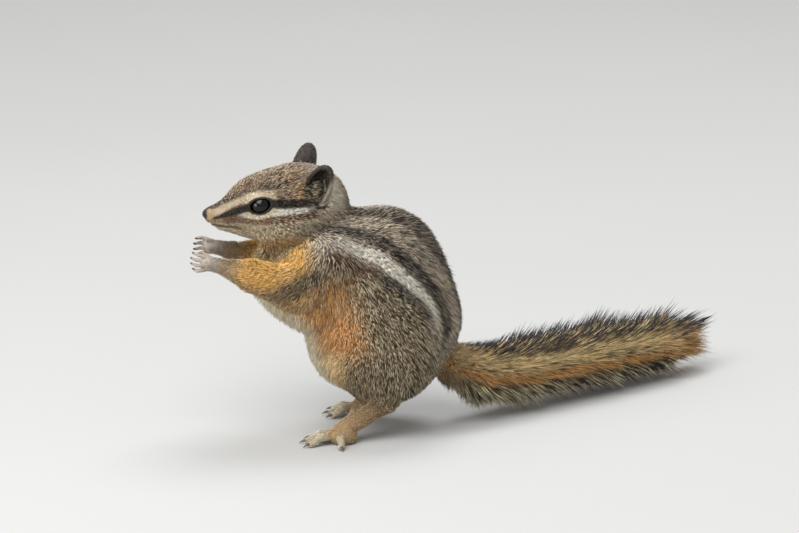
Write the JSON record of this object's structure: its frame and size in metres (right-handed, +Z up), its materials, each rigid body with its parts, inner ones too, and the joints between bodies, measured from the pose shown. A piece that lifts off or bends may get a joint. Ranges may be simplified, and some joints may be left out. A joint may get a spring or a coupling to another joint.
{
  "type": "chipmunk",
  "caption": "Still life-size model of a chipmunk sitting up on its hind feet, both hands held before its mouth, bushy tail laid out behind it.",
  "frame": {"origin": "middle of the flat under the ball of the left hind foot, at floor level", "axes": "+Z up from the floor, the animal faces -X with its left side towards -Y, and its tail runs towards +X and +Y"},
  "size_m": [0.1433, 0.0878, 0.0769],
  "materials": {
    "fur": "short dense fur, orange-brown and grizzled, with dark and white stripes",
    "pale_fur": "very short pale buff fur on feet and toes",
    "tail_fur": "long bushy fur, yellow-buff with black bands and pale tips",
    "ear_skin": "thin skin of the ear, matt, with very short hair",
    "bare_skin": "grey-pink skin of the hands under very short pale hair",
    "eye": "wet black eye, high gloss"
  },
  "bodies": {
    "root": {"head": "fur", "neck": "fur", "torso": "fur", "ear_left": "ear_skin", "ear_right": "ear_skin", "eye_left": "eye", "eye_right": "eye", "upper_arm_left": "fur", "upper_arm_right": "fur", "forearm_left": "fur", "forearm_right": "fur", "hand_left": "bare_skin", "hand_right": "bare_skin", "thigh_left": "fur", "thigh_right": "fur", "foot_left": "pale_fur", "foot_right": "pale_fur", "tail_1": "tail_fur", "tail_2": "tail_fur", "tail_3": "tail_fur", "tail_4": "tail_fur"}
  },
  "joints": []
}
